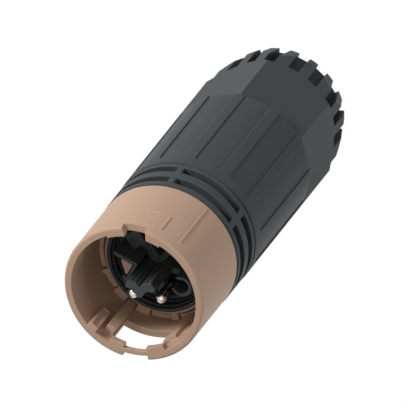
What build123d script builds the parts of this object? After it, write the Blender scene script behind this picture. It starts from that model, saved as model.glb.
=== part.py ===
from build123d import *

import os
from math import cos, degrees, radians, sin

# Five-pole round power connector for a cable, standing on its cable end with the mating face up.
# Sizes are millimetres. The axis is +Z: z = 0 is the rear end of the cap nut, where the cable
# goes in, and the mating face is the top. The coding notch of the locking sleeve is on +Y.
# Angles are in degrees about the axis, from +X towards +Y.

os.makedirs("parts", exist_ok=True)

# Lengths along the axis, from the cable end to the mating face
nut_length = 88.3
nut_gap = 0.5
flange_length = 14.6
sleeve_gap = 0.4
sleeve_length = 30.0

# Clearances
thread_clearance = 0.08
running_clearance = 0.07
seat_clearance = 0.1
squeeze_clearance = 0.02
free_clearance = 0.35
axial_play = 0.3
cut_past = 1.0

# Outside: the cap nut is the widest piece, flange and sleeve stand back from it
outer_radius = 24.35
flange_setback = 0.15
sleeve_setback = 0.35

# Locking sleeve
sleeve_wall = 2.5
rim_rounding = 0.9
rear_rounding = 0.45
notch_depth = 3.1
notch_angle = 16.0
notch_flare = 2.6
notch_lead = 1.4
top_lip_angle = 50.0
top_lip_height = 0.7
front_ring_depth = 2.3
window_start = 246.0
window_end = 288.0
window_toe_end = 296.4
window_toe_depth = 8.5
window_depth = 16.2
block_height = 1.95
bridge_angles = (260.0, 282.0)
block_end = 300.0
bridge_depth = 1.5
bridge_wall = 1.6
bridge_inset = 0.9
rail_angles = (235.5, 244.5)
rail_height = 2.65
rail_front = 5.0
rail_rear = 23.0
low_rail_angles = (295.5, 303.5)
low_rail_height = 1.3
low_rail_front = 8.0
stop_pad_angles = (222.0, 231.0)
stop_pad_depth = 11.3
stop_pad_edge = 0.6
stop_pad_recess = 0.25
seat_pads = ((30.0, 94.0), (136.0, 199.0), (204.0, 220.0), (260.0, 280.0), (288.0, 334.0))
seat_pad_front = 25.0
seat_pad_height = 1.4
line_width = 0.6
line_height = 0.3
frame_line_angle = 53.6
frame_line_span = (5.0, 28.2)
box_line_angles = (71.2, 106.0)
box_line_span = (5.0, 13.6)

# Bayonet ring inside the sleeve
bayonet_front = 23.4
bayonet_ring_radius = 19.0
bayonet_ring_bore = 18.2
bayonet_lugs = (
    (98.0, 112.0), (199.8, 203.4), (220.8, 234.0), (246.0, 259.2), (280.8, 287.2), (338.0, 352.0),
)
bayonet_keys = slice(1, 5)
bayonet_key_length = 2.5

# Housing
collar_radius = 17.9
collar_depth = 21.8
collar_chamfer = 0.5
front_bore = 15.5
seal_seat_wall = 1.2
seal_seat_depth = 3.4
seal_ring_step = 0.15
seal_ring_lip = 1.0
journal_front = 25.3
retainer_wire = 1.2
retainer_height = 2.1
retainer_gap = (97.0, 133.0)
flange_rounding = 0.5
flange_band = 2.05
flange_rib = 3.3
pocket_depth = 4.4
pocket_bar_angle = 4.6
pocket_columns = 6
barrel_bore = 16.2
tail_radius = 19.6
tail_length = 34.2
stop_lug_angle = 10.0
stop_lug_height = 1.1
stop_lug_play = 0.8

# Contact carrier and the star of walls between the poles
star_depth = 5.6
star_lobes = (
    (5.3, 194.0), (2.7, 214.0), (4.6, 257.5), (4.1, 276.0), (2.55, 320.0), (4.7, 342.0), (5.4, 352.5),
    (4.25, 18.0), (4.5, 30.0), (2.9, 26.0), (1.65, 38.0), (0.7, 250.0), (1.7, 155.0), (4.2, 165.0),
)
star_rounding = 0.3
arm_width = 2.0
arm_depth = 22.0
wide_arm_width = 3.2
key_block_depth = 18.5
key_block_span = (8.6, 14.0)
key_block_width = 5.4
tube_depth = 15.5
tube_place = 10.85
tube_radius = 3.5
tube_wall = 0.9
tube_mouth = 4.0
partition_depth = 24.0
plug_wall_depth = 12.0
plug_wall = 1.0
floor_depth = 34.0
floor_thickness = 5.2
floor_step = 1.2
peg_radius = 2.1
peg_length = 3.2
skirt_wall = 1.0
skirt_height = 7.0
chamber_block_radius = 13.6
chamber_block_length = 22.0
chamber_mouth = 5.0
pole_count = 5
pitch_radius = 8.25

# Contacts
pin_radius = 1.9
shank_step = 0.2
shank_stand = 0.3
lead_depth = 10.3
late_depth = 22.0
bush_radius = 3.4
bush_length = 17.0
wire_bore = 2.3
wire_bore_depth = 12.5
screw_radius = 1.5
screw_start = 9.4
screw_length = 3.8
screw_slot = 0.6
screw_place = 10.5
contacts = {
    "pin_pe": (2, lead_depth), "pin_l1": (3, lead_depth),
    "pin_l2": (4, late_depth), "pin_l3": (0, late_depth),
}
plug_depth = 12.2
plug_pole = 1
plug_corners = ((10.5, 152.0), (7.3, 187.0), (6.1, 147.0))
plug_rounding = 0.35

# Seals and cable clamp
oring_thickness = 1.3
insert_length = 5.5
insert_hole = 3.0
insert_mouth = 4.4
nut_seal_radius = 18.85
nut_seal_thickness = 1.1
nut_seal_inset = 2.9
seal_bore = 11.1
seal_radius = 14.3
seal_length = 26.0
seal_neck_length = 8.0
seal_lip = 1.2
liner_wall = 2.2
liner_length = 20.0
cage_flange = 3.0
cage_radius = 19.0
finger_count = 12
finger_slit = 1.4
finger_wall = 1.7
finger_root = 3.0
finger_chamfer = 1.1
thrust_ring_height = 4.0
thrust_ring_lip = 1.2

# Cap nut
hex_length = 39.8
hex_inset = 3.25
nut_collar_length = 3.8
rib_count = 12
rib_angle = 8.0
panel_recess = 0.5
panel_corner = 1.6
crown_slots = 18
crown_slot_width = 3.9
crown_slot_depth = 5.85
crown_slot_length = 7.8
crown_slot_slope = 1.33
crown_inset = 4.15
crown_taper = 12.8
nut_step_room = 3.9
nut_inner_radius = 18.2
nut_seat_height = 18.6
cable_hole = 12.3
entry_flare = 1.5
nut_rounding = 0.7

# Radii that follow from the outside
nut_radius = outer_radius
flange_radius = outer_radius - flange_setback
sleeve_radius = outer_radius - sleeve_setback
hex_apothem = outer_radius - hex_inset
crown_radius = outer_radius - crown_inset
crown_slot_floor = outer_radius - crown_slot_depth
pocket_floor = flange_radius - pocket_depth
shank_radius = pin_radius + shank_step

# Levels that follow from the lengths
nut_top = nut_length
flange_base = nut_top + nut_gap
flange_top = flange_base + flange_length
sleeve_base = flange_top + sleeve_gap
face = sleeve_base + sleeve_length
sleeve_bore = sleeve_radius - sleeve_wall
seat_bore = sleeve_bore - seat_pad_height
journal_radius = seat_bore - running_clearance
journal_top = face - journal_front
wire_radius = journal_radius
wire_height = flange_top + retainer_height
collar_top = face - collar_depth
tail_end = flange_base - tail_length
nut_seal_height = nut_top - nut_seal_inset
floor_height = face - floor_depth
floor_base = floor_height - floor_thickness
shoulder = floor_height - floor_step
star_top = face - star_depth
arm_top = face - arm_depth
partition_top = face - partition_depth
chamber_base = floor_base - chamber_block_length
pole_step = 360.0 / pole_count
arm_angles = [90.0 + pole_step * (pole + 0.5) for pole in range(pole_count)]


def polar(radius, angle):
    """The point at a radius and an angle in degrees about the axis."""
    return (radius * cos(radians(angle)), radius * sin(radians(angle)))


def ring_sector(inner, outer, start, end):
    """A piece of a flat ring between two radii and two angles."""
    with BuildSketch() as sector:
        with BuildLine():
            outside = CenterArc((0, 0), outer, start, end - start)
            inside = CenterArc((0, 0), inner, start, end - start)
            Line(outside @ 0, inside @ 0)
            Line(outside @ 1, inside @ 1)
        make_face()
    return sector.sketch


def arm(reach, angle, width):
    """A straight wall from the axis outwards."""
    with BuildSketch() as wall:
        with Locations(Location((0, 0, 0), (0, 0, angle))):
            Rectangle(reach, width, align=(Align.MIN, Align.CENTER))
    return wall.sketch


def outline(*points):
    """A flat shape with straight sides through the given points."""
    with BuildSketch() as shape:
        with BuildLine():
            Polyline(*points, close=True)
        make_face()
    return shape.sketch


def plug_outline(grow):
    """The three-sided outline of the coding plug, grown by a clearance or a wall."""
    with BuildSketch() as shape:
        add(outline(*[polar(*corner) for corner in plug_corners]))
        offset(amount=grow, kind=Kind.INTERSECTION)
    return shape.sketch


# Locking sleeve
with BuildPart() as locking_sleeve:
    with BuildSketch(Plane.XZ):
        add(outline(
            (sleeve_bore, sleeve_base), (sleeve_radius, sleeve_base), (sleeve_radius, face),
            (sleeve_bore, face),
        ))
    revolve(axis=Axis.Z)
    rims = locking_sleeve.edges().filter_by(GeomType.CIRCLE).group_by(Axis.Z)
    fillet(rims[-1].sort_by(SortBy.LENGTH)[-1], rim_rounding)
    fillet(rims[0], rear_rounding)

    # Seat pads that run on the housing, with the groove for the retaining wire
    with BuildSketch(Plane.XY.offset(sleeve_base)):
        for start, end in seat_pads:
            add(ring_sector(seat_bore, sleeve_bore + cut_past, start, end))
    extrude(amount=face - seat_pad_front - sleeve_base)

    # Lip and blocks of the coding, flush with the rim
    lip_half = top_lip_angle / 2
    with BuildSketch(Plane.XY.offset(face - front_ring_depth)):
        add(ring_sector(sleeve_bore - top_lip_height, sleeve_bore + cut_past, 90 - lip_half, 90 + lip_half))
        add(ring_sector(sleeve_bore - block_height, sleeve_bore + cut_past, window_start, bridge_angles[0]))
        add(ring_sector(sleeve_bore - block_height, sleeve_bore + cut_past, bridge_angles[1], block_end))
    extrude(amount=front_ring_depth)

    # Rails and stop pad on the bore
    with BuildSketch(Plane.XY.offset(face - rail_rear)):
        add(ring_sector(sleeve_bore - rail_height, sleeve_bore + cut_past, *rail_angles))
    extrude(amount=rail_rear - rail_front)
    with BuildSketch(Plane.XY.offset(face - rail_rear)):
        add(ring_sector(sleeve_bore - low_rail_height, sleeve_bore + cut_past, *low_rail_angles))
    extrude(amount=rail_rear - low_rail_front)
    with BuildSketch(Plane.XY.offset(face - stop_pad_depth)):
        add(ring_sector(sleeve_bore - block_height, sleeve_bore + cut_past, *stop_pad_angles))
    extrude(amount=stop_pad_depth)
    pad_face = sleeve_bore - block_height
    pad_edge = degrees(stop_pad_edge / pad_face)
    pad_recess = (stop_pad_angles[0] + pad_edge, stop_pad_angles[1] - pad_edge)
    with BuildSketch(Plane.XY.offset(face - stop_pad_depth + stop_pad_edge)):
        add(ring_sector(pad_face - cut_past, pad_face + stop_pad_recess, *pad_recess))
    extrude(amount=stop_pad_depth - 2 * stop_pad_edge, mode=Mode.SUBTRACT)

    # Window, its toe, and the open front between the two blocks
    window_middle = (window_start + window_end) / 2
    with BuildSketch(Plane.XY.offset(face - window_depth)):
        add(ring_sector(sleeve_bore - cut_past, sleeve_radius + cut_past, window_start, window_end))
    extrude(amount=window_depth - front_ring_depth, mode=Mode.SUBTRACT)
    with BuildSketch(Plane.XY.offset(face - window_toe_depth)):
        add(ring_sector(sleeve_bore - cut_past, sleeve_radius + cut_past, window_middle, window_toe_end))
    extrude(amount=window_toe_depth - front_ring_depth, mode=Mode.SUBTRACT)
    with BuildSketch(Plane.XY.offset(face - front_ring_depth)):
        add(ring_sector(sleeve_bore - block_height - cut_past, sleeve_radius + cut_past, *bridge_angles))
    extrude(amount=front_ring_depth, mode=Mode.SUBTRACT)
    with BuildSketch(Plane.XY.offset(face - bridge_depth)):
        bridge_inner = sleeve_bore - bridge_inset
        bridge_ends = (bridge_angles[0] - cut_past, bridge_angles[1] + cut_past)
        add(ring_sector(bridge_inner, bridge_inner + bridge_wall, *bridge_ends))
    extrude(amount=bridge_depth)

    # Coding notch, wider outside than inside
    notch_half = sleeve_bore * sin(radians(notch_angle / 2))
    notch_mouth = notch_half + notch_flare / 2
    notch_inner = sleeve_bore - top_lip_height - cut_past
    notch_outer = sleeve_radius + cut_past
    with BuildSketch(Plane.XY.offset(face - notch_depth)):
        add(outline(
            (-notch_half, notch_inner), (notch_half, notch_inner), (notch_half, sleeve_bore),
            (notch_mouth, sleeve_radius), (notch_mouth, notch_outer), (-notch_mouth, notch_outer),
            (-notch_mouth, sleeve_radius), (-notch_half, sleeve_bore),
        ))
    extrude(amount=notch_depth, mode=Mode.SUBTRACT)

    # One side of the notch leans outwards as a lead-in
    with BuildSketch(Plane.XZ):
        add(outline(
            (0, face - notch_depth), (notch_half, face - notch_depth), (notch_half + notch_lead, face),
            (notch_half + notch_lead, face + cut_past), (0, face + cut_past),
        ))
    extrude(amount=-notch_outer, mode=Mode.SUBTRACT)

    # Groove for the retaining wire
    wire_room = retainer_wire / 2 + free_clearance
    with BuildSketch(Plane.XZ):
        add(outline(
            (seat_bore - cut_past, wire_height - wire_room),
            (wire_radius + wire_room, wire_height - wire_room),
            (wire_radius + wire_room, wire_height + wire_room),
            (seat_bore - cut_past, wire_height + wire_room),
        ))
    revolve(axis=Axis.Z, mode=Mode.SUBTRACT)

    # Raised lines that frame the bare label field
    line_half = degrees(line_width / 2 / sleeve_radius)
    line_root = sleeve_radius - sleeve_wall / 2
    line_crest = sleeve_radius + line_height
    for angle, span in ((frame_line_angle, frame_line_span), (box_line_angles[0], box_line_span)):
        with BuildSketch(Plane.XY.offset(face - span[1])):
            add(ring_sector(line_root, line_crest, angle - line_half, angle + line_half))
        extrude(amount=span[1] - span[0])
    for depth in box_line_span:
        with BuildSketch(Plane.XY.offset(face - depth - line_width / 2)):
            add(ring_sector(line_root, sleeve_radius + line_height / 2, *box_line_angles))
        extrude(amount=line_width)
locking_sleeve.part.label = "locking_sleeve"
export_step(locking_sleeve.part, "parts/locking_sleeve.step")

# Bayonet ring: six lugs on a thin ring, four of them keyed between the seat pads
bayonet_base = journal_top + axial_play
with BuildPart() as bayonet_ring:
    with BuildSketch(Plane.XY.offset(bayonet_base)):
        Circle(bayonet_ring_radius)
        for start, end in bayonet_lugs:
            add(ring_sector(bayonet_ring_bore, sleeve_bore - seat_clearance, start, end))
        Circle(bayonet_ring_bore, mode=Mode.SUBTRACT)
    extrude(amount=face - bayonet_front - bayonet_base)
    with BuildSketch(Plane.XY.offset(bayonet_base)):
        for start, end in bayonet_lugs[bayonet_keys]:
            add(ring_sector(seat_bore + seat_clearance, sleeve_bore - seat_clearance, start, end))
    extrude(amount=-bayonet_key_length)
bayonet_ring.part.label = "bayonet_ring"
export_step(bayonet_ring.part, "parts/bayonet_ring.step")

# Retaining wire between housing and sleeve, open over one tenth of the turn
with BuildPart() as sleeve_retainer:
    with Locations((0, 0, wire_height)):
        Torus(wire_radius, retainer_wire / 2)
    with BuildSketch(Plane.XY.offset(wire_height - retainer_wire)):
        add(ring_sector(wire_radius - retainer_wire, wire_radius + retainer_wire, *retainer_gap))
    extrude(amount=2 * retainer_wire, mode=Mode.SUBTRACT)
sleeve_retainer.part.label = "sleeve_retainer"
export_step(sleeve_retainer.part, "parts/sleeve_retainer.step")

# Housing: collar, journal, cored flange and threaded tail in one moulding
seal_seat_radius = collar_radius - seal_seat_wall
groove_floor = wire_radius - retainer_wire / 2 - seat_clearance
groove_half = retainer_wire / 2 + seat_clearance
nut_groove_half = nut_seal_thickness / 2 + seat_clearance
nut_groove_floor = nut_seal_radius - nut_seal_thickness / 2 - seat_clearance / 2
with BuildPart() as housing:
    with BuildSketch(Plane.XZ):
        add(outline(
            (barrel_bore, tail_end), (tail_radius, tail_end),
            (tail_radius, nut_seal_height - nut_groove_half),
            (nut_groove_floor, nut_seal_height - nut_groove_half),
            (nut_groove_floor, nut_seal_height + nut_groove_half),
            (tail_radius, nut_seal_height + nut_groove_half), (tail_radius, flange_base),
            (flange_radius, flange_base), (flange_radius, flange_top), (journal_radius, flange_top),
            (journal_radius, journal_top), (collar_radius, journal_top),
            (collar_radius, collar_top - collar_chamfer),
            (collar_radius - collar_chamfer, collar_top), (seal_seat_radius, collar_top),
            (seal_seat_radius, collar_top - seal_seat_depth),
            (front_bore, collar_top - seal_seat_depth), (front_bore, shoulder),
            (barrel_bore, shoulder),
        ))
    revolve(axis=Axis.Z)
    flange_edges = housing.edges().filter_by(GeomType.CIRCLE).filter_by(
        lambda edge: abs(edge.radius - flange_radius) < seat_clearance
    )
    fillet(flange_edges, flange_rounding)

    # Two rows of pockets keep the wall of the flange even
    pocket_height = (flange_length - 2 * flange_band - flange_rib) / 2
    pocket_step = 360.0 / pocket_columns
    for row in range(2):
        pocket_base = flange_base + flange_band + row * (pocket_height + flange_rib)
        with BuildSketch(Plane.XY.offset(pocket_base)):
            for column in range(pocket_columns):
                start = 90 + column * pocket_step + pocket_bar_angle / 2
                end = start + pocket_step - pocket_bar_angle
                add(ring_sector(pocket_floor, flange_radius + cut_past, start, end))
        extrude(amount=pocket_height, mode=Mode.SUBTRACT)

    # Lugs that stop the sleeve after its turn
    with BuildSketch(Plane.XY.offset(flange_top)):
        for pad in seat_pads[:2]:
            lug_end = pad[0] - stop_lug_play
            lug_crest = journal_radius + stop_lug_height
            add(ring_sector(journal_radius - cut_past, lug_crest, lug_end - stop_lug_angle, lug_end))
    extrude(amount=journal_top - flange_top)

    # Groove for the retaining wire, through journal and lugs
    with BuildSketch(Plane.XZ):
        add(outline(
            (groove_floor, wire_height - groove_half), (sleeve_bore, wire_height - groove_half),
            (sleeve_bore, wire_height + groove_half), (groove_floor, wire_height + groove_half),
        ))
    revolve(axis=Axis.Z, mode=Mode.SUBTRACT)
housing.part.label = "housing"
export_step(housing.part, "parts/housing.step")

# Seal ring in the mouth of the collar
seal_ring_bore = front_bore + seal_ring_step
seal_ring_radius = seal_seat_radius - squeeze_clearance
with BuildPart() as collar_seal:
    with BuildSketch(Plane.XZ):
        add(outline(
            (seal_ring_bore, collar_top - seal_seat_depth),
            (seal_ring_radius, collar_top - seal_seat_depth),
            (seal_ring_radius, collar_top - seal_ring_lip),
            (seal_ring_bore + seal_ring_lip / 2, collar_top - seal_ring_lip / 2),
            (seal_ring_bore, collar_top - seal_ring_lip),
        ))
    revolve(axis=Axis.Z)
collar_seal.part.label = "collar_seal"
export_step(collar_seal.part, "parts/collar_seal.step")

# Contact carrier: floor and skirt with the flange of its seal
carrier_flange = barrel_bore - seat_clearance
carrier_body = front_bore - seat_clearance
skirt_bore = carrier_body - skirt_wall
carrier_seat = shoulder - seat_clearance / 2
seal_groove_middle = (shoulder + floor_base) / 2
seal_groove_floor = barrel_bore - oring_thickness
groove_height = oring_thickness / 2 + seat_clearance
with BuildPart() as contact_carrier:
    with BuildSketch(Plane.XZ):
        add(outline(
            (0, floor_base), (carrier_flange, floor_base),
            (carrier_flange, seal_groove_middle - groove_height),
            (seal_groove_floor, seal_groove_middle - groove_height),
            (seal_groove_floor, seal_groove_middle + groove_height),
            (carrier_flange, seal_groove_middle + groove_height), (carrier_flange, carrier_seat),
            (carrier_body, carrier_seat), (carrier_body, floor_height + skirt_height),
            (skirt_bore, floor_height + skirt_height), (skirt_bore, floor_height),
            (peg_radius, floor_height), (peg_radius, floor_height - peg_length),
            (0, floor_height - peg_length),
        ))
    revolve(axis=Axis.Z)

    # Holes for the pins in the floor
    with BuildSketch(Plane.XY.offset(floor_base)):
        with PolarLocations(pitch_radius, pole_count, 90):
            Circle(shank_radius + seat_clearance)
    extrude(amount=floor_thickness, mode=Mode.SUBTRACT)
contact_carrier.part.label = "contact_carrier"
export_step(contact_carrier.part, "parts/contact_carrier.step")

# Pole star: the walls that part the poles, pegged into the middle of the floor
star_base = floor_height + seat_clearance / 2
arm_reach = skirt_bore - free_clearance
with BuildPart() as pole_star:
    with BuildSketch(Plane.XY.offset(floor_height - peg_length + seat_clearance)):
        Circle(peg_radius - seat_clearance)
    extrude(amount=peg_length)

    # The star itself, with a hollow flank towards each socket
    with BuildSketch(Plane.XY.offset(star_base)) as star:
        add(outline(*[polar(*corner) for corner in star_lobes]))
        fillet(star.vertices(), star_rounding)
    extrude(amount=star_top - star_base)

    # Low walls on all five arms, and higher ones on three of them
    with BuildSketch(Plane.XY.offset(star_base)):
        for angle in arm_angles:
            add(arm(arm_reach, angle, arm_width))
    extrude(amount=partition_top - star_base)
    with BuildSketch(Plane.XY.offset(star_base)):
        add(arm(key_block_span[0], arm_angles[0], wide_arm_width))
        add(arm(tube_place - tube_radius + tube_wall, arm_angles[3], arm_width))
        add(arm(arm_reach, arm_angles[4], arm_width))
    extrude(amount=arm_top - star_base)

    # Key block at the end of the wide arm
    key_length = key_block_span[1] - key_block_span[0]
    with BuildSketch(Plane.XY.offset(star_base)):
        with Locations(Location((*polar(key_block_span[0], arm_angles[0]), 0), (0, 0, arm_angles[0]))):
            Rectangle(key_length, key_block_width, align=(Align.MIN, Align.CENTER))
    extrude(amount=face - key_block_depth - star_base)

    # Guide tube on the fourth arm, open towards the hub
    tube_angle = arm_angles[3]
    with BuildSketch(Plane.XY.offset(star_base)):
        with Locations(polar(tube_place, tube_angle)):
            Circle(tube_radius)
            Circle(tube_radius - tube_wall, mode=Mode.SUBTRACT)
        with Locations(Location((*polar(tube_place, tube_angle), 0), (0, 0, tube_angle + 180))):
            Rectangle(
                tube_radius + cut_past, tube_mouth, align=(Align.MIN, Align.CENTER), mode=Mode.SUBTRACT
            )
    extrude(amount=face - tube_depth - star_base)
    with BuildSketch(Plane.XY.offset(star_base)):
        Circle(carrier_body)
        Circle(arm_reach, mode=Mode.SUBTRACT)
    extrude(amount=skirt_height + free_clearance, mode=Mode.SUBTRACT)

    # Wall round the coding plug, open towards the skirt
    with BuildSketch(Plane.XY.offset(star_base)):
        add(plug_outline(free_clearance + plug_wall))
        add(plug_outline(free_clearance), mode=Mode.SUBTRACT)
        (outer_reach, outer_angle), (inner_reach, inner_angle) = plug_corners[:2]
        add(outline(
            polar(outer_reach, outer_angle), polar(carrier_body, outer_angle),
            polar(carrier_body, inner_angle), polar(inner_reach, inner_angle),
        ), mode=Mode.SUBTRACT)
    extrude(amount=face - plug_wall_depth - star_base)
    with BuildSketch(Plane.XY.offset(star_base)):
        add(plug_outline(free_clearance))
    extrude(amount=partition_top - star_base, mode=Mode.SUBTRACT)
pole_star.part.label = "pole_star"
export_step(pole_star.part, "parts/pole_star.step")

# Terminal block behind the carrier: five chambers, open outwards for the screwdriver
block_top = floor_base - seat_clearance / 2
screw_level = chamber_base + screw_place
with BuildPart() as terminal_block:
    with BuildSketch(Plane.XY.offset(chamber_base)):
        Circle(chamber_block_radius)
        with PolarLocations(pitch_radius, pole_count, 90):
            Circle(bush_radius + seat_clearance, mode=Mode.SUBTRACT)
            Rectangle(
                chamber_block_radius, chamber_mouth, align=(Align.MIN, Align.CENTER), mode=Mode.SUBTRACT
            )
    extrude(amount=block_top - chamber_base)
terminal_block.part.label = "terminal_block"
export_step(terminal_block.part, "parts/terminal_block.step")

# Coding plug in the chamber that carries no contact, on its own foot in the floor
with BuildPart() as coding_plug:
    with BuildSketch(Plane.XY.offset(floor_height)) as plug_section:
        add(outline(*[polar(*corner) for corner in plug_corners]))
        fillet(plug_section.vertices(), plug_rounding)
    extrude(amount=face - plug_depth - floor_height)
    with BuildSketch(Plane.XY.offset(floor_base)):
        with Locations(polar(pitch_radius, 90 + plug_pole * pole_step)):
            Circle(shank_radius)
    extrude(amount=floor_thickness)
coding_plug.part.label = "coding_plug"
export_step(coding_plug.part, "parts/coding_plug.step")

# Turned contacts: ball tip, stepped shank in the floor, and a bush behind it that clamps the wire.
# Two lead and two stand back.
bush_base = floor_base - bush_length
shank_top = floor_height + shank_stand
for label, (pole, depth) in contacts.items():
    tip = face - depth
    pole_angle = 90 + pole * pole_step
    centre = polar(pitch_radius, pole_angle)
    outwards = (*polar(1, pole_angle), 0)
    with BuildPart() as contact:
        across = (outwards[1], -outwards[0], 0)
        with BuildSketch(Plane(origin=(*centre, 0), x_dir=outwards, z_dir=across)):
            with BuildLine():
                ball = CenterArc((0, tip - pin_radius), pin_radius, 0, 90)
                Polyline(
                    ball @ 0, (pin_radius, shank_top), (shank_radius, shank_top),
                    (shank_radius, floor_base), (bush_radius, floor_base),
                    (bush_radius, bush_base), (wire_bore, bush_base),
                    (wire_bore, bush_base + wire_bore_depth),
                    (0, bush_base + wire_bore_depth + wire_bore / 2), ball @ 1,
                )
            make_face()
        revolve(axis=Axis((*centre, 0), (0, 0, 1)))
        with BuildSketch(Plane(origin=(*centre, screw_level), z_dir=outwards)):
            Circle(screw_radius + seat_clearance)
        extrude(amount=bush_radius + cut_past, mode=Mode.SUBTRACT)
    contact.part.label = label
    export_step(contact.part, f"parts/{label}.step")

# Slotted clamp screws, one in each bush
with BuildPart() as terminal_screws:
    for pole, depth in contacts.values():
        pole_angle = 90 + pole * pole_step
        outwards = (*polar(1, pole_angle), 0)
        with BuildSketch(Plane(origin=(*polar(screw_start, pole_angle), screw_level), z_dir=outwards)):
            Circle(screw_radius)
        extrude(amount=screw_length)
        head = polar(screw_start + screw_length, pole_angle)
        with BuildSketch(Plane(origin=(*head, screw_level), z_dir=outwards)):
            Rectangle(screw_slot, 2 * screw_radius + cut_past)
        extrude(amount=-screw_slot, mode=Mode.SUBTRACT)
terminal_screws.part.label = "terminal_screws"
export_step(terminal_screws.part, "parts/terminal_screws.step")

# Wire guide that closes the chambers from behind, slotted so that the wires go in from the side
insert_base = chamber_base - seat_clearance / 2 - insert_length
with BuildPart() as rear_insert:
    with BuildSketch(Plane.XY.offset(insert_base)):
        Circle(barrel_bore - seat_clearance)
        with PolarLocations(pitch_radius, pole_count, 90):
            Circle(insert_hole, mode=Mode.SUBTRACT)
            Rectangle(barrel_bore, insert_mouth, align=(Align.MIN, Align.CENTER), mode=Mode.SUBTRACT)
    extrude(amount=insert_length)
rear_insert.part.label = "rear_insert"
export_step(rear_insert.part, "parts/rear_insert.step")

# Round seals: around the carrier's flange, and under the cap nut
with BuildPart() as carrier_seal:
    with Locations((0, 0, seal_groove_middle)):
        Torus(barrel_bore - oring_thickness / 2, oring_thickness / 2 - squeeze_clearance)
carrier_seal.part.label = "carrier_seal"
export_step(carrier_seal.part, "parts/carrier_seal.step")

with BuildPart() as nut_seal:
    with Locations((0, 0, nut_seal_height)):
        Torus(nut_seal_radius, nut_seal_thickness / 2)
nut_seal.part.label = "nut_seal"
export_step(nut_seal.part, "parts/nut_seal.step")

# Cable seal in the mouth of the tail, with a liner that comes out for a thicker cable
seal_top = tail_end + seal_neck_length
seal_base = seal_top - seal_length
with BuildPart() as cable_seal:
    with BuildSketch(Plane.XZ):
        add(outline(
            (seal_bore, seal_base), (seal_radius - seal_lip, seal_base),
            (seal_radius, seal_base + seal_lip), (seal_radius, tail_end + seat_clearance),
            (barrel_bore - seat_clearance, tail_end + seat_clearance),
            (barrel_bore - seat_clearance, seal_top - seal_lip), (barrel_bore - seal_lip, seal_top),
            (seal_bore, seal_top),
        ))
    revolve(axis=Axis.Z)
cable_seal.part.label = "cable_seal"
export_step(cable_seal.part, "parts/cable_seal.step")

liner_base = seal_base + (seal_length - liner_length) / 2
with BuildPart() as seal_liner:
    with BuildSketch(Plane.XY.offset(liner_base)):
        Circle(seal_bore - seat_clearance)
        Circle(seal_bore - seat_clearance - liner_wall, mode=Mode.SUBTRACT)
    extrude(amount=liner_length)
    chamfer(seal_liner.edges().filter_by(GeomType.CIRCLE).sort_by(SortBy.LENGTH)[:2], liner_wall / 4)
seal_liner.part.label = "seal_liner"
export_step(seal_liner.part, "parts/seal_liner.step")

# Clamp cage: a flange on the end of the tail, and fingers that close on the seal
finger_bore = seal_radius + free_clearance
finger_radius = finger_bore + finger_wall
cage_top = tail_end - seat_clearance / 2
finger_top = cage_top - cage_flange
ring_base = nut_seat_height + seat_clearance / 2
finger_tip = ring_base + thrust_ring_height + free_clearance
with BuildPart() as clamp_cage:
    with BuildSketch(Plane.XZ):
        add(outline(
            (finger_bore, finger_tip), (finger_radius - finger_chamfer, finger_tip),
            (finger_radius, finger_tip + 2 * finger_chamfer), (finger_radius, finger_top),
            (cage_radius, finger_top), (cage_radius, cage_top), (finger_bore, cage_top),
        ))
    revolve(axis=Axis.Z)
    with BuildSketch(Plane.XY.offset(finger_tip)):
        with PolarLocations(0, finger_count):
            Rectangle(finger_radius + cut_past, finger_slit, align=(Align.MIN, Align.CENTER))
    extrude(amount=finger_top - finger_tip - finger_root, mode=Mode.SUBTRACT)
clamp_cage.part.label = "clamp_cage"
export_step(clamp_cage.part, "parts/clamp_cage.step")

# Thrust ring that lets the nut turn without twisting the fingers
ring_outer = nut_inner_radius - free_clearance
ring_inner = cable_hole + thrust_ring_lip
with BuildPart() as thrust_ring:
    with BuildSketch(Plane.XZ):
        add(outline(
            (ring_inner, ring_base), (ring_outer, ring_base),
            (ring_outer, ring_base + thrust_ring_height),
            (finger_radius, ring_base + thrust_ring_height),
            (ring_inner, ring_base + thrust_ring_height / 2),
        ))
    revolve(axis=Axis.Z)
thrust_ring.part.label = "thrust_ring"
export_step(thrust_ring.part, "parts/thrust_ring.step")

# Cap nut: fluted sleeve, hexagon and castellated end round one bore
nut_outside = nut_radius + 2 * cut_past
panel_half = (360.0 / rib_count - rib_angle) / 2
panel_top = nut_top - nut_collar_length
with BuildPart() as grip_panel:
    with BuildSketch(Plane.XY.offset(hex_length - cut_past)):
        add(ring_sector(nut_radius - panel_recess, nut_outside, -panel_half, panel_half))
    extrude(amount=panel_top - hex_length + cut_past)
    front_face = grip_panel.faces().sort_by(Axis.Z)[-1]
    fillet(front_face.edges().filter_by(GeomType.LINE), panel_corner)

slot_rise = (nut_outside - crown_slot_floor) * crown_slot_slope
with BuildPart() as crown_slot:
    with BuildSketch(Plane.XZ):
        add(outline(
            (crown_slot_floor, -cut_past), (nut_outside, -cut_past),
            (nut_outside, crown_slot_length + slot_rise), (crown_slot_floor, crown_slot_length),
        ))
    extrude(amount=crown_slot_width / 2, both=True)

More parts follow.
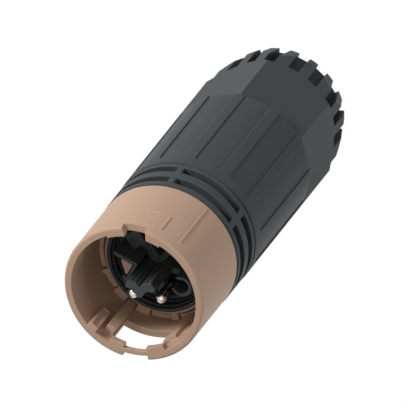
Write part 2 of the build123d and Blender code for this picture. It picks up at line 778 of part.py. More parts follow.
thread_bore = tail_radius + thread_clearance
nut_step_height = finger_top - nut_step_room
with BuildPart() as cap_nut:
    with BuildSketch():
        RegularPolygon(hex_apothem, 6, major_radius=False, rotation=30)
    extrude(amount=hex_length)
    with BuildSketch(Plane.XY.offset(hex_length)):
        Circle(nut_radius)
    extrude(amount=nut_top - hex_length)
    fillet(cap_nut.edges().filter_by(GeomType.CIRCLE).sort_by(Axis.Z)[-1], nut_rounding)
    with PolarLocations(0, rib_count, 90 + 180.0 / rib_count):
        add(grip_panel.part, mode=Mode.SUBTRACT)

    # Corners of the hexagon taper towards the cable
    with BuildSketch(Plane.XZ):
        add(outline(
            (crown_radius, 0), (nut_outside, 0), (nut_outside, crown_taper), (nut_radius, crown_taper),
        ))
    revolve(axis=Axis.Z, mode=Mode.SUBTRACT)
    with PolarLocations(0, crown_slots, 90):
        add(crown_slot.part, mode=Mode.SUBTRACT)

    # Bore: cable hole with its flare, seat of the thrust ring, and thread
    with BuildSketch(Plane.XZ):
        add(outline(
            (0, 0), (cable_hole + entry_flare, 0), (cable_hole, entry_flare * 2),
            (cable_hole, nut_seat_height), (nut_inner_radius, nut_seat_height),
            (nut_inner_radius, nut_step_height), (thread_bore, nut_step_height),
            (thread_bore, nut_top), (0, nut_top),
        ))
    revolve(axis=Axis.Z, mode=Mode.SUBTRACT)
cap_nut.part.label = "cap_nut"
export_step(cap_nut.part, "parts/cap_nut.step")
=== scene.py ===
# %% [markdown]
# Circular power connector, dressed for its picture.
# The object is a cable connector of moulded plastic: a tan locking sleeve in front, a dark ribbed housing
# behind it, and a fluted cap nut that clamps the cable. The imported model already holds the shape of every
# hard piece, so this script gives each piece its finish, remakes the rubber pieces with their real lips and
# ribs, and adds the fine flutes that moulding leaves inside. Blender works in metres. The object's own
# measures are written in millimetres, and MM turns them into metres.

import math

import bmesh
import bpy
from mathutils import Matrix, Vector


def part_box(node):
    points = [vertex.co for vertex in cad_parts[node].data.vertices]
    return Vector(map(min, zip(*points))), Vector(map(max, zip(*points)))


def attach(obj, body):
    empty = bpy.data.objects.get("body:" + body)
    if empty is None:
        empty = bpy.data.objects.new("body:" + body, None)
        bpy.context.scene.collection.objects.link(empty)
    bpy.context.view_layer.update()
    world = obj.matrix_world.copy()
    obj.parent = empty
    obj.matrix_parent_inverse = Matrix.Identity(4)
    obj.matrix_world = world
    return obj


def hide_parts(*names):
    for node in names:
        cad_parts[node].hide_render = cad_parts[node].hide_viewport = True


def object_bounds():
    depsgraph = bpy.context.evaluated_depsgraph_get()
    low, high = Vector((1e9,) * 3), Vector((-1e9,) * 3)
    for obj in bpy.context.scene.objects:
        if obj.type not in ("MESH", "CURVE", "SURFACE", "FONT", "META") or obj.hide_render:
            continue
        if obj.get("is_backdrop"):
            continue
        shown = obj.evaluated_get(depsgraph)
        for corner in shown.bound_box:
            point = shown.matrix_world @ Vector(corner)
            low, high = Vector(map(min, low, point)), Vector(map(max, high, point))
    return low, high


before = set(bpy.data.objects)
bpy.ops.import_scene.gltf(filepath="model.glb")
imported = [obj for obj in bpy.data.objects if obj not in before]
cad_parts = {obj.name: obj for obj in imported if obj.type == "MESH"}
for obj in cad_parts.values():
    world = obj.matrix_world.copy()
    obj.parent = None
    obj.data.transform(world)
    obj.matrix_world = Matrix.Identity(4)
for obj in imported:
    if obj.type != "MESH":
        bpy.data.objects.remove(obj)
cad_low, cad_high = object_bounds()
MM = 0.001
print("CAD box in mm:", [round(v / MM, 2) for v in (*cad_low, *cad_high)])

# %% [markdown]
# The photograph looks down on the mating face with edges that stay parallel from the front to the far end.
# A very long lens comes close to that. An orthographic camera draws just that, and its scale is the width
# in metres that the picture spans. The middle of the picture lies beside the axis, so the camera looks at a
# point there, and its roll puts the axis at the photograph's slant.

# %% Camera
PICTURE = 408
PIXELS_PER_MM = 3.11539
TOWARDS_CAMERA = Vector((0.3225, 0.4878, 0.8112)).normalized()
CAMERA_RIGHT = Vector((0.930, -0.008, -0.366))
CAMERA_DISTANCE = 1.5
CAMERA_REACH = 20.0
PICTURE_MIDDLE = Vector((16.1, 25.1, 112.3)) * MM


def make_camera():
    """A camera with parallel rays whose axes are the photograph's own."""
    data = bpy.data.cameras.new("camera")
    data.type = "ORTHO"
    data.ortho_scale = PICTURE / PIXELS_PER_MM * MM
    data.clip_end = CAMERA_REACH
    camera = bpy.data.objects.new("camera", data)
    bpy.context.scene.collection.objects.link(camera)
    up = TOWARDS_CAMERA.cross(CAMERA_RIGHT).normalized()
    right = up.cross(TOWARDS_CAMERA).normalized()
    turn = Matrix((right, up, TOWARDS_CAMERA)).transposed()
    camera.matrix_world = turn.to_4x4()
    camera.location = PICTURE_MIDDLE + TOWARDS_CAMERA * CAMERA_DISTANCE
    bpy.context.scene.camera = camera
    return camera


camera = make_camera()
print("the picture spans", round(camera.data.ortho_scale / MM, 1), "mm")

# %% [markdown]
# The materials below need many small sums. A Math node takes four lines each time, so one helper makes the
# node, fills its inputs with numbers or links, and hands back its output.

# %% Helper for Math nodes


def maths(tree, operation, *values):
    """The output of a new Math node; each value is a number or a socket."""
    node = tree.nodes.new("ShaderNodeMath")
    node.operation = operation
    for socket, value in zip(node.inputs, values):
        if isinstance(value, (int, float)):
            socket.default_value = value
        else:
            tree.links.new(value, socket)
    return node.outputs[0]


# %% [markdown]
# The photograph is a cut-out on white. More light on a pale floor would make it white too, but that light
# would also fall on the object. So the floor stays grey for the light that it throws back, and Light Path
# swaps it for white where the camera or a glossy surface looks at it. A small share of the grey is kept, and
# with it a trace of the object's shadow. From below the floor is seen through, so that the foot of the
# object can be looked at as well.

# %% Floor
WHITE = (1.0, 1.0, 1.0, 1.0)
FLOOR_COLOUR = (0.5, 0.5, 0.5, 1.0)
FLOOR_GAP = 0.0001
FLOOR_REACH = 8.0
FLOOR_WHITE_STRENGTH = 1.05
FLOOR_WHITE_SHARE = 0.94


def seen_directly(tree):
    """A value of 1 for camera, glossy and transmission rays, and 0 for the light that falls on things."""
    path = tree.nodes.new("ShaderNodeLightPath")
    seen = maths(tree, "MAXIMUM", path.outputs["Is Camera Ray"], path.outputs["Is Glossy Ray"])
    return maths(tree, "MAXIMUM", seen, path.outputs["Is Transmission Ray"])


def make_floor_finish():
    """Grey for the light, nearly white for the eye, and clear from below."""
    material = bpy.data.materials.new("floor")
    material.use_nodes = True
    tree = material.node_tree
    nodes, links = tree.nodes, tree.links
    nodes.clear()
    grey = nodes.new("ShaderNodeBsdfDiffuse")
    grey.inputs["Color"].default_value = FLOOR_COLOUR
    white = nodes.new("ShaderNodeEmission")
    white.inputs["Color"].default_value = WHITE
    white.inputs["Strength"].default_value = FLOOR_WHITE_STRENGTH
    top = nodes.new("ShaderNodeMixShader")
    links.new(maths(tree, "MULTIPLY", seen_directly(tree), FLOOR_WHITE_SHARE), top.inputs["Fac"])
    links.new(grey.outputs[0], top.inputs[1])
    links.new(white.outputs[0], top.inputs[2])
    geometry = nodes.new("ShaderNodeNewGeometry")
    clear = nodes.new("ShaderNodeBsdfTransparent")
    both = nodes.new("ShaderNodeMixShader")
    links.new(geometry.outputs["Backfacing"], both.inputs["Fac"])
    links.new(top.outputs[0], both.inputs[1])
    links.new(clear.outputs[0], both.inputs[2])
    output = nodes.new("ShaderNodeOutputMaterial")
    links.new(both.outputs[0], output.inputs["Surface"])
    return material


def make_floor():
    """A wide floor just under the object."""
    shape = bmesh.new()
    bmesh.ops.create_grid(shape, x_segments=1, y_segments=1, size=FLOOR_REACH,
                          matrix=Matrix.Translation((0.0, 0.0, cad_low.z - FLOOR_GAP)))
    mesh = bpy.data.meshes.new("floor")
    shape.to_mesh(mesh)
    shape.free()
    mesh.materials.append(make_floor_finish())
    floor = bpy.data.objects.new("floor", mesh)
    bpy.context.scene.collection.objects.link(floor)
    floor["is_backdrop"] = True


bpy.context.scene.view_settings.view_transform = "Standard"
make_floor()
print("the floor lies", round(FLOOR_GAP / MM, 2), "mm under the foot")

# %% [markdown]
# Round the studio everything is pale, which fills the shadows evenly. The world does that with a weak white,
# and shows itself to the camera and to glossy surfaces as full white, by the same helper as the floor.

# %% World
WORLD_FILL = 0.25


def make_world():
    """Even fill light; the camera and the gloss see plain white."""
    world = bpy.data.worlds.new("studio")
    world.use_nodes = True
    tree = world.node_tree
    nodes, links = tree.nodes, tree.links
    nodes.clear()
    mix = nodes.new("ShaderNodeMixShader")
    links.new(seen_directly(tree), mix.inputs["Fac"])
    for place, strength in ((1, WORLD_FILL), (2, 1.0)):
        background = nodes.new("ShaderNodeBackground")
        background.inputs["Color"].default_value = WHITE
        background.inputs["Strength"].default_value = strength
        links.new(background.outputs[0], mix.inputs[place])
    output = nodes.new("ShaderNodeOutputWorld")
    links.new(mix.outputs[0], output.inputs["Surface"])
    bpy.context.scene.world = world


make_world()
print("fill light:", WORLD_FILL)

# %% [markdown]
# The main lamp stands low to the left of the camera and draws the light side of the sleeve and the nut. A
# weak one grazes the right side, and a third hangs above for the rim and the front of the insert. All three
# are square area lamps, because a point or a sun would cut hard shadows into the mouth.

# %% Lamps
# Azimuth and elevation in degrees, distance and size in metres, power in watts
LAMPS = {
    "key": (126.0, 27.0, 1.2, 0.3, 10.4),
    "side": (-8.0, 8.0, 0.9, 0.4, 1.9),
    "top": (60.0, 78.0, 1.2, 0.35, 1.3),
}


def make_lamp(name, azimuth, elevation, distance, size, power):
    """A square soft lamp that points at the middle of the object."""
    data = bpy.data.lights.new(name, "AREA")
    data.size = size
    data.energy = power
    lamp = bpy.data.objects.new(name, data)
    bpy.context.scene.collection.objects.link(lamp)
    a, e = math.radians(azimuth), math.radians(elevation)
    away = Vector((math.cos(a) * math.cos(e), math.sin(a) * math.cos(e), math.sin(e)))
    middle = Vector((0.0, 0.0, (cad_low.z + cad_high.z) / 2))
    lamp.location = middle + away * distance
    lamp.rotation_mode = "QUATERNION"
    lamp.rotation_quaternion = away.to_track_quat("Z", "Y")
    print("lamp", name, "of", power, "W")


for name, settings in LAMPS.items():
    make_lamp(name, *settings)

# %% [markdown]
# Every plastic piece shows the same fine spark-eroded grain from its mould, and slow changes of gloss where
# the melt cooled. An image of grain would need a layout on every piece, while a noise on Object coordinates
# wraps them all. That is one node group with named inputs, placed in each plastic with its own values. It
# gives only a height, a roughness and a colour, and each material keeps its own shader.

# %% Node group for moulded grain
FINE_DETAIL = 3.0
DRIFT_PER_MM = 0.12
DRIFT_DETAIL = 2.0
NOISE_MIDDLE = 0.5


def make_grain_group():
    """Fine grain and slow drift, read on Object coordinates."""
    group = bpy.data.node_groups.new("moulded_grain", "ShaderNodeTree")
    face = group.interface
    face.new_socket("Colour", in_out="INPUT", socket_type="NodeSocketColor")
    for name, value in (("Grain per mm", 4.0), ("Roughness", 0.4), ("Drift", 0.05)):
        socket = face.new_socket(name, in_out="INPUT", socket_type="NodeSocketFloat")
        socket.default_value = value
    face.new_socket("Colour", in_out="OUTPUT", socket_type="NodeSocketColor")
    face.new_socket("Roughness", in_out="OUTPUT", socket_type="NodeSocketFloat")
    face.new_socket("Height", in_out="OUTPUT", socket_type="NodeSocketFloat")
    nodes, links = group.nodes, group.links
    inside = nodes.new("NodeGroupInput")
    outside = nodes.new("NodeGroupOutput")
    place = nodes.new("ShaderNodeTexCoord")
    to_mm = nodes.new("ShaderNodeVectorMath")
    to_mm.operation = "SCALE"
    to_mm.inputs["Scale"].default_value = 1.0 / MM
    links.new(place.outputs["Object"], to_mm.inputs[0])

    fine = nodes.new("ShaderNodeTexNoise")
    fine.inputs["Detail"].default_value = FINE_DETAIL
    links.new(to_mm.outputs[0], fine.inputs["Vector"])
    links.new(inside.outputs["Grain per mm"], fine.inputs["Scale"])
    links.new(fine.outputs["Fac"], outside.inputs["Height"])

    slow = nodes.new("ShaderNodeTexNoise")
    slow.inputs["Scale"].default_value = DRIFT_PER_MM
    slow.inputs["Detail"].default_value = DRIFT_DETAIL
    links.new(to_mm.outputs[0], slow.inputs["Vector"])
    centred = maths(group, "SUBTRACT", slow.outputs["Fac"], NOISE_MIDDLE)
    amount = maths(group, "MULTIPLY", centred, inside.outputs["Drift"])
    rough = maths(group, "ADD", inside.outputs["Roughness"], amount)
    links.new(rough, outside.inputs["Roughness"])

    tint = nodes.new("ShaderNodeVectorMath")
    tint.operation = "SCALE"
    links.new(inside.outputs["Colour"], tint.inputs[0])
    links.new(maths(group, "ADD", amount, 1.0), tint.inputs["Scale"])
    links.new(tint.outputs[0], outside.inputs["Colour"])
    return group


GRAIN = make_grain_group()
print("node group:", GRAIN.name, "with", len(GRAIN.nodes), "nodes")

# %% [markdown]
# Mould edges are never knife sharp. A bevel on the imported pieces would change their shape, so a second group
# rounds only the normals at every edge, and tells how near an edge is from how far the rounded normal leans.
# The plastics lighten their colour by that mask: a painted highlight along every edge, with a little wear.

# %% Node group for edges
BEVEL_SAMPLES = 6
# How far the rounded normal leans where the painted edge highlight and wear start, and where they are full
LEAN_WHERE_HIGHLIGHT_AND_WEAR_START = 0.995
LEAN_WHERE_HIGHLIGHT_AND_WEAR_ARE_FULL = 0.80


def make_edge_group():
    """Rounded normals, and a mask that is 1 on sharp edges and 0 on open faces."""
    group = bpy.data.node_groups.new("soft_edges", "ShaderNodeTree")
    group.interface.new_socket("Radius", in_out="INPUT", socket_type="NodeSocketFloat")
    group.interface.new_socket("Normal", in_out="OUTPUT", socket_type="NodeSocketVector")
    group.interface.new_socket("Mask", in_out="OUTPUT", socket_type="NodeSocketFloat")
    nodes, links = group.nodes, group.links
    inside = nodes.new("NodeGroupInput")
    outside = nodes.new("NodeGroupOutput")
    bevel = nodes.new("ShaderNodeBevel")
    bevel.samples = BEVEL_SAMPLES
    links.new(inside.outputs["Radius"], bevel.inputs["Radius"])
    links.new(bevel.outputs["Normal"], outside.inputs["Normal"])
    true = nodes.new("ShaderNodeNewGeometry")
    lean = nodes.new("ShaderNodeVectorMath")
    lean.operation = "DOT_PRODUCT"
    links.new(bevel.outputs["Normal"], lean.inputs[0])
    links.new(true.outputs["Normal"], lean.inputs[1])
    mask = nodes.new("ShaderNodeMapRange")
    mask.inputs["From Min"].default_value = LEAN_WHERE_HIGHLIGHT_AND_WEAR_START
    mask.inputs["From Max"].default_value = LEAN_WHERE_HIGHLIGHT_AND_WEAR_ARE_FULL
    links.new(lean.outputs["Value"], mask.inputs["Value"])
    links.new(mask.outputs[0], outside.inputs["Mask"])
    return group


EDGES = make_edge_group()
print("node group:", EDGES.name, "with", len(EDGES.nodes), "nodes")

# %% [markdown]
# A plastic is the two groups on a Principled shader: the grain gives colour, gloss and bump, and the edge
# mask lightens the edges with a painted highlight and a little wear. The rubber is the same recipe, nearly
# black and with only a faint painted lightening on its edges. Grain depth and edge radius are in millimetres.

# %% Plastic and rubber
GLOSS_DRIFT = 0.06


def make_plastic(name, colour, roughness, gloss, grain_per_mm, grain_depth, edge_radius, edge_highlight_and_wear):
    """A moulded plastic or rubber with its grain, drift of gloss and softened edges, lightened by a painted
    highlight and a little wear.
    """
    material = bpy.data.materials.new(name)
    material.use_nodes = True
    nodes, links = material.node_tree.nodes, material.node_tree.links
    shader = nodes["Principled BSDF"]
    shader.inputs["Specular IOR Level"].default_value = gloss
    grain = nodes.new("ShaderNodeGroup")
    grain.node_tree = GRAIN
    grain.inputs["Colour"].default_value = (*colour, 1.0)
    grain.inputs["Grain per mm"].default_value = grain_per_mm
    grain.inputs["Roughness"].default_value = roughness
    grain.inputs["Drift"].default_value = GLOSS_DRIFT
    edge = nodes.new("ShaderNodeGroup")
    edge.node_tree = EDGES
    edge.inputs["Radius"].default_value = edge_radius * MM
    # A lighter colour on the edges: a painted highlight, with a little wear
    lighter = nodes.new("ShaderNodeVectorMath")
    lighter.operation = "SCALE"
    lighter.inputs["Scale"].default_value = edge_highlight_and_wear
    links.new(grain.outputs["Colour"], lighter.inputs[0])
    edge_highlight_and_wear_mix = nodes.new("ShaderNodeMix")
    edge_highlight_and_wear_mix.data_type = "RGBA"
    links.new(edge.outputs["Mask"], edge_highlight_and_wear_mix.inputs["Factor"])
    links.new(grain.outputs["Colour"], edge_highlight_and_wear_mix.inputs["A"])
    links.new(lighter.outputs[0], edge_highlight_and_wear_mix.inputs["B"])
    links.new(edge_highlight_and_wear_mix.outputs["Result"], shader.inputs["Base Color"])
    links.new(grain.outputs["Roughness"], shader.inputs["Roughness"])
    bump = nodes.new("ShaderNodeBump")
    bump.name = "grain_bump"
    bump.inputs["Distance"].default_value = grain_depth * MM
    links.new(grain.outputs["Height"], bump.inputs["Height"])
    links.new(edge.outputs["Normal"], bump.inputs["Normal"])
    links.new(bump.outputs["Normal"], shader.inputs["Normal"])
    return material


# The last value scales the colour on the edges: a painted highlight, with a little wear
TAN = make_plastic("tan_plastic", (0.545, 0.364, 0.262), roughness=0.46, gloss=0.12,
                   grain_per_mm=6.0, grain_depth=0.012, edge_radius=0.35, edge_highlight_and_wear=1.4)
DARK = make_plastic("dark_plastic", (0.063, 0.073, 0.076), roughness=0.50, gloss=0.07,
                    grain_per_mm=5.0, grain_depth=0.014, edge_radius=0.30, edge_highlight_and_wear=2.6)
CARRIER = make_plastic("carrier_plastic", (0.056, 0.066, 0.068), roughness=0.40, gloss=0.20,
                       grain_per_mm=5.0, grain_depth=0.010, edge_radius=0.25, edge_highlight_and_wear=2.6)
RUBBER = make_plastic("seal_rubber", (0.018, 0.019, 0.019), roughness=0.55, gloss=0.2,
                      grain_per_mm=3.0, grain_depth=0.010, edge_radius=0.15, edge_highlight_and_wear=1.3)
print("finishes:", [finish.name for finish in (TAN, DARK, CARRIER, RUBBER)])

# %% [markdown]
# The housing's tail carries a moulded thread of 3 mm pitch, which shows when the nut is undone. The solid
# has a plain running fit there and no room for ridges, so the thread is a helical bump on that stretch of
# the housing: a cosine of the height less the angle, cut off flat at its crests. Only the skin outside
# THREAD_RADIUS takes it, so the bore stays plain.

# %% Node group for the thread
THREAD_PITCH = 3.0
THREAD_DEPTH = 0.7
THREAD_RADIUS = 19.3
THREAD_CREST = 0.35
THREAD_CREST_BLEND = 0.25
THREAD_START = cad_low.z / MM + 56.0
THREAD_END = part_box("cap_nut")[1].z / MM - 5.5


def make_thread_group():
    """The height of a flat-crested helical thread about the Z axis, read on Object coordinates."""
    group = bpy.data.node_groups.new("helical_thread", "ShaderNodeTree")
    group.interface.new_socket("Height", in_out="OUTPUT", socket_type="NodeSocketFloat")
    outside = group.nodes.new("NodeGroupOutput")
    place = group.nodes.new("ShaderNodeTexCoord")
    parts = group.nodes.new("ShaderNodeSeparateXYZ")
    group.links.new(place.outputs["Object"], parts.inputs[0])
    x, y, z = (parts.outputs[axis] for axis in "XYZ")
    angle = maths(group, "ARCTAN2", y, x)
    turns = maths(group, "SUBTRACT", maths(group, "MULTIPLY", z, 1.0 / (THREAD_PITCH * MM)),
                  maths(group, "MULTIPLY", angle, 1.0 / math.tau))
    wave = maths(group, "COSINE", maths(group, "MULTIPLY", turns, math.tau))
    crest = maths(group, "SMOOTH_MIN", wave, THREAD_CREST, THREAD_CREST_BLEND)
    radius = maths(group, "SQRT", maths(group, "ADD", maths(group, "POWER", x, 2.0),
                                        maths(group, "POWER", y, 2.0)))
    outer = maths(group, "GREATER_THAN", radius, THREAD_RADIUS * MM)
    above = maths(group, "GREATER_THAN", z, THREAD_START * MM)
    below = maths(group, "LESS_THAN", z, THREAD_END * MM)
    threaded = maths(group, "MULTIPLY", outer, maths(group, "MULTIPLY", above, below))
    group.links.new(maths(group, "MULTIPLY", crest, threaded), outside.inputs["Height"])
    return group


THREAD = make_thread_group()
print("thread from", round(THREAD_START, 1), "to", round(THREAD_END, 1), "mm")

# %% [markdown]
# The housing is the same dark plastic as the nut, with the thread on top. Two bumps can share one height,
# but the thread is many times deeper than the grain, so the coarse bump comes first and hands its normal to
# the fine one.

# %% Thread on the housing


def add_thread(material):
    """A copy of a plastic whose bump also carries the thread."""
    threaded = material.copy()
    threaded.name = "threaded_plastic"
    nodes, links = threaded.node_tree.nodes, threaded.node_tree.links
    thread = nodes.new("ShaderNodeGroup")
    thread.node_tree = THREAD
    coarse = nodes.new("ShaderNodeBump")
    coarse.inputs["Distance"].default_value = THREAD_DEPTH / 2 * MM
    fine = nodes["grain_bump"]
    links.new(thread.outputs["Height"], coarse.inputs["Height"])
    links.new(fine.inputs["Normal"].links[0].from_socket, coarse.inputs["Normal"])
    links.new(coarse.outputs["Normal"], fine.inputs["Normal"])
    return threaded


HOUSING = add_thread(DARK)
print("finish:", HOUSING.name)

# %% [markdown]
# The contacts are turned brass with a silver plate. Turning leaves rings round the axis, too fine to count
# at this distance, so they aren't modelled: a noise squeezed along the axis roughens the gloss a little. The
# screws and the retaining wire are plain plated steel.

# %% Metals
RING_STRETCH = (60.0, 60.0, 4000.0)
RING_GLOSS = 0.06


def make_metal(name, colour, roughness):
    """A plated, turned metal."""
    material = bpy.data.materials.new(name)
    material.use_nodes = True
    nodes, links = material.node_tree.nodes, material.node_tree.links
    shader = nodes["Principled BSDF"]
    shader.inputs["Metallic"].default_value = 1.0
    shader.inputs["Base Color"].default_value = (*colour, 1.0)
    place = nodes.new("ShaderNodeTexCoord")
    stretch = nodes.new("ShaderNodeMapping")
    stretch.inputs["Scale"].default_value = RING_STRETCH
    rings = nodes.new("ShaderNodeTexNoise")
    rings.inputs["Scale"].default_value = 1.0
    links.new(place.outputs["Object"], stretch.inputs["Vector"])
    links.new(stretch.outputs[0], rings.inputs["Vector"])
    gloss = nodes.new("ShaderNodeMapRange")
    gloss.inputs["To Min"].default_value = roughness - RING_GLOSS
    gloss.inputs["To Max"].default_value = roughness + RING_GLOSS
    links.new(rings.outputs["Fac"], gloss.inputs["Value"])
    links.new(gloss.outputs[0], shader.inputs["Roughness"])
    return material


SILVER = make_metal("contact_silver", (0.60, 0.585, 0.56), roughness=0.20)
STEEL = make_metal("plated_steel", (0.62, 0.62, 0.63), roughness=0.32)
print("finishes:", SILVER.name, STEEL.name)

# %% [markdown]
# The imported nodes keep their shapes and take these finishes. Splitting a node by face would allow two
# finishes on it, but every piece of this connector is one material. model.glb already holds rounded
# normals for them.

# %% Finishes on the imported nodes
FINISHES = {
    "locking_sleeve": TAN, "coding_plug": TAN, "bayonet_ring": TAN,
    "housing": HOUSING, "clamp_cage": DARK, "thrust_ring": DARK, "cap_nut": DARK,
    "contact_carrier": CARRIER, "pole_star": CARRIER, "terminal_block": CARRIER, "rear_insert": CARRIER,
    "collar_seal": RUBBER, "carrier_seal": RUBBER, "nut_seal": RUBBER, "cable_seal": RUBBER,
    "seal_liner": RUBBER,
    "pin_pe": SILVER, "pin_l1": SILVER, "pin_l2": SILVER, "pin_l3": SILVER,
    "terminal_screws": STEEL, "sleeve_retainer": STEEL,
}
for node, finish in FINISHES.items():
    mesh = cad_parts[node].data
    mesh.materials.clear()
    mesh.materials.append(finish)
print("nodes finished:", len(FINISHES))

# %% [markdown]
# The rubber pieces are turned shapes with lips and grooves that the solids leave plain. Cutting each groove
# into a tube would take a cutter for every one. A closed section, spun about the axis in one go, makes them
# all at once. The section is given as radius and height in millimetres, and it stays inside the solid that
# it stands for, so nothing rubs that didn't before.

# %% Helpers for spun rubber
SPIN_STEPS = 128
SHARP_ANGLE = 35.0
ROUNDING_SEGMENTS = 3
# Share of the pitch from the top of a groove's period, and share of the depth there
GROOVE_PROFILE = ((0.0, 0.0), (0.45, 0.0), (0.55, 1.0), (0.9, 1.0))


def spun(name, node, section, rounding):
    """A ring with a closed section, rounded at its corners, that replaces one rubber node."""
    shape = bmesh.new()
    points = [shape.verts.new((radius * MM, 0.0, height * MM)) for radius, height in section]
    rim = [shape.edges.new(pair) for pair in zip(points, points[1:] + points[:1])]
    bmesh.ops.spin(shape, geom=points + rim, axis=(0, 0, 1), cent=(0, 0, 0), steps=SPIN_STEPS,
                   angle=math.tau, use_merge=True, use_duplicate=False)
    bmesh.ops.recalc_face_normals(shape, faces=shape.faces[:])
    if rounding:
        corners = [edge for edge in shape.edges if edge.calc_face_angle(0.0) > math.radians(SHARP_ANGLE)]
        bmesh.ops.bevel(shape, geom=corners, offset=rounding * MM, segments=ROUNDING_SEGMENTS,
                        profile=0.5, affect="EDGES", material=-1)
    for face in shape.faces:
        face.smooth = True
    mesh = bpy.data.meshes.new(name)
    shape.to_mesh(mesh)
    shape.free()
    mesh.materials.append(RUBBER)
    piece = bpy.data.objects.new(name, mesh)
    bpy.context.scene.collection.objects.link(piece)
    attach(piece, "housing")
    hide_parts(node)
    print(name, "faces:", len(mesh.polygons))


def levels(node):
    """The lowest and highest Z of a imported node, and its outer radius, in millimetres."""
    low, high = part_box(node)
    return low.z / MM, high.z / MM, high.x / MM


def grooved(low, high, radius, depth, count, outward):
    """Points down one wall of a section, with evenly spaced shallow grooves."""
    pitch = (high - low) / count
    points = []
    for step in range(count):
        top = high - step * pitch
        for share, sunk in GROOVE_PROFILE:
            points.append((radius + outward * depth * sunk, top - share * pitch))
    points.append((radius, low))
    return points


# %% [markdown]
# The ring in the mouth of the collar is what the mating shell presses on. It has a seat, a sealing lip and a
# groove between them. The lip is drawn as a few points of the section, given one by one, since it is the only
# one.

# %% Ring in the mouth of the collar
COLLAR_SEAL_BORE = 15.65

low, high, outer = levels("collar_seal")
collar_section = [
    (outer, low), (outer, high - 1.0), (outer - 0.12, high - 0.45), (outer - 0.35, high - 0.12),
    (outer - 0.55, high - 0.5), (outer - 0.72, high - 0.5), (COLLAR_SEAL_BORE, high - 0.7),
    (COLLAR_SEAL_BORE, low + 1.2), (COLLAR_SEAL_BORE + 0.25, low + 0.9), (COLLAR_SEAL_BORE, low + 0.5),
    (COLLAR_SEAL_BORE, low),
]
spun("collar_seal_ring", "collar_seal", collar_section, rounding=0.06)

# %% [markdown]
# Two round seals sit in grooves, one between carrier and housing and one between housing and nut. A torus
# would be perfectly round. Their grooves squeeze them a little, so each section is a circle that is slightly
# narrower across the wall than along the axis.

# %% Round seals
ROUND_SEAL_STEPS = 20

for node, squeeze in (("carrier_seal", 0.96), ("nut_seal", 0.97)):
    low, high, outer = levels(node)
    half = (high - low) / 2
    ring = [
        (outer - half + half * squeeze * math.cos(a), low + half + half * math.sin(a))
        for a in (math.tau * step / ROUND_SEAL_STEPS for step in range(ROUND_SEAL_STEPS))
    ]
    spun(node + "_ring", node, ring, rounding=0.0)

# %% [markdown]
# The cable bush is what the fingers of the clamp press on. It is plain outside, with a shoulder and a neck,
# and its bore has nine grooves that grip the cable or the liner. The grooves come from the helper, so their
# number can be changed in one place.

# %% Cable bush
BUSH_RADIUS = 14.3
BUSH_BORE = 11.1
BUSH_NECK = 8.0
BUSH_CHAMFER = 1.2
BUSH_TOP_CHAMFER = 1.1
BUSH_CLEARANCE = 0.1

low, high, outer = levels("cable_seal")
shoulder = high - BUSH_NECK + BUSH_CLEARANCE
bush = [
    (BUSH_RADIUS - BUSH_CHAMFER, low), (BUSH_RADIUS, low + BUSH_CHAMFER), (BUSH_RADIUS, shoulder),
    (outer, shoulder), (outer, high - BUSH_CHAMFER), (outer - BUSH_TOP_CHAMFER, high),
] + grooved(low, high, BUSH_BORE, depth=0.4, count=9, outward=1.0)
spun("cable_seal_bush", "cable_seal", bush, rounding=0.08)

# %% [markdown]
# The liner is a second bush inside the first, taken out for a thicker cable. It is grooved outside and in.
# The section runs up the outside and down the bore, so the outer wall is the helper's wall turned round,
# without the point that it shares with the chamfer.

# %% Liner
LINER_WALL = 2.2
LINER_CHAMFER = 0.55
LINER_GROOVES = {"depth": 0.35, "count": 7}

low, high, outer = levels("seal_liner")
liner_bore = outer - LINER_WALL
bottom, top = low + LINER_CHAMFER, high - LINER_CHAMFER
liner = [(liner_bore + LINER_CHAMFER, low), (outer - LINER_CHAMFER, low), (outer, bottom)]
liner += grooved(bottom, top, outer, outward=-1.0, **LINER_GROOVES)[::-1][1:]
liner += [(outer - LINER_CHAMFER, high), (liner_bore + LINER_CHAMFER, high)]
liner += grooved(bottom, top, liner_bore, outward=1.0, **LINER_GROOVES)
spun("seal_liner_bush", "seal_liner", liner, rounding=0.06)

# %% [markdown]
# The star between the contacts, the key block beside it and the wall of the blind chamber are moulded with
# flutes along their flanks, so that the thick plastic doesn't sink as it cools. The photograph shows them as
# fine dark and light lines, and the solids have plain flanks. A bump would vanish in the meshes, so each
# ridge is a thin six-sided bar, half sunk in its flank and narrowed at the front, and the bars of one
# outline are one piece.

# %% Helper for ridges
RIDGE_RADIUS = 0.28
RIDGE_SIDES = 6
RIDGE_SETBACK = 0.7
RIDGE_TIP = 0.12


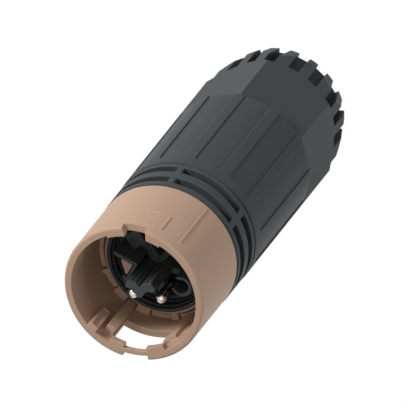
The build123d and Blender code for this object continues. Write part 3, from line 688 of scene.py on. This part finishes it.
def make_ridges(name, outline, front, length, pitch, closed=True):
    """Bars down the flanks of an outline, whose corners are a radius in mm and an angle in degrees."""
    back = front - RIDGE_SETBACK - length
    corners = []
    for radius, angle in outline:
        turn = math.radians(angle)
        corners.append(Vector((radius * math.cos(turn), radius * math.sin(turn), back)))
    if closed:
        corners.append(corners[0])
    shape = bmesh.new()
    for start, end in zip(corners, corners[1:]):
        bars = int((end - start).length / pitch)
        for step in range(bars):
            place = start.lerp(end, (step + 0.5) / bars) * MM
            bmesh.ops.create_circle(shape, cap_ends=True, segments=RIDGE_SIDES, radius=RIDGE_RADIUS * MM,
                                    matrix=Matrix.Translation(place))
    count = len(shape.faces)
    raised = bmesh.ops.extrude_face_region(shape, geom=shape.faces[:])["geom"]
    moved = [item for item in raised if isinstance(item, bmesh.types.BMVert)]
    bmesh.ops.translate(shape, verts=moved, vec=(0.0, 0.0, length * MM))
    tips = [item for item in raised if isinstance(item, bmesh.types.BMFace)]
    bmesh.ops.recalc_face_normals(shape, faces=shape.faces[:])
    bmesh.ops.inset_individual(shape, faces=tips, thickness=RIDGE_TIP * MM, depth=RIDGE_TIP * MM)
    print(name, "has", count, "bars; open edges:", sum(edge.is_boundary for edge in shape.edges))
    mesh = bpy.data.meshes.new(name)
    shape.to_mesh(mesh)
    shape.free()
    mesh.materials.append(CARRIER)
    ridges = bpy.data.objects.new(name, mesh)
    bpy.context.scene.collection.objects.link(ridges)
    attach(ridges, "housing")


# %% [markdown]
# The star's front stands furthest out, and its ridges run back until they are lost in the shadow of the
# mouth. A regular star could be made with a loop. This outline is written corner by corner, because its
# arms are all different.

# %% Ridges on the star
STAR_OUTLINE = (
    (5.3, 194.0), (2.7, 214.0), (4.6, 257.5), (4.1, 276.0), (2.55, 320.0), (4.7, 342.0), (5.4, 352.5),
    (4.25, 18.0), (4.5, 30.0), (2.9, 26.0), (1.65, 38.0), (0.7, 250.0), (1.7, 155.0), (4.2, 165.0),
)
STAR_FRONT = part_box("pole_star")[1].z / MM
make_ridges("star_ridges", STAR_OUTLINE, STAR_FRONT, length=19.0, pitch=1.15)

# %% [markdown]
# The key block and the wall of the blind chamber stand further back. The block has ridges all round. The
# wall has them on the one flank that the photograph shows, so its line stays open.

# %% Ridges on the key block and the chamber wall
KEY_OUTLINE = ((9.01, 143.4), (14.26, 136.9), (14.26, 115.1), (9.01, 108.6))
KEY_FRONT = STAR_FRONT - 12.9
WALL_LINE = ((11.5, 146.4), (5.75, 132.6))
WALL_FRONT = STAR_FRONT - 6.4
make_ridges("key_ridges", KEY_OUTLINE, KEY_FRONT, length=9.0, pitch=1.2)
make_ridges("wall_ridges", WALL_LINE, WALL_FRONT, length=9.0, pitch=1.3, closed=False)

# %% [markdown]
# The box of the dressed part is measured again, in the same way as the box of the imported model. Nothing
# here may make the part larger.

# %% Size and end
low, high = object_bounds()
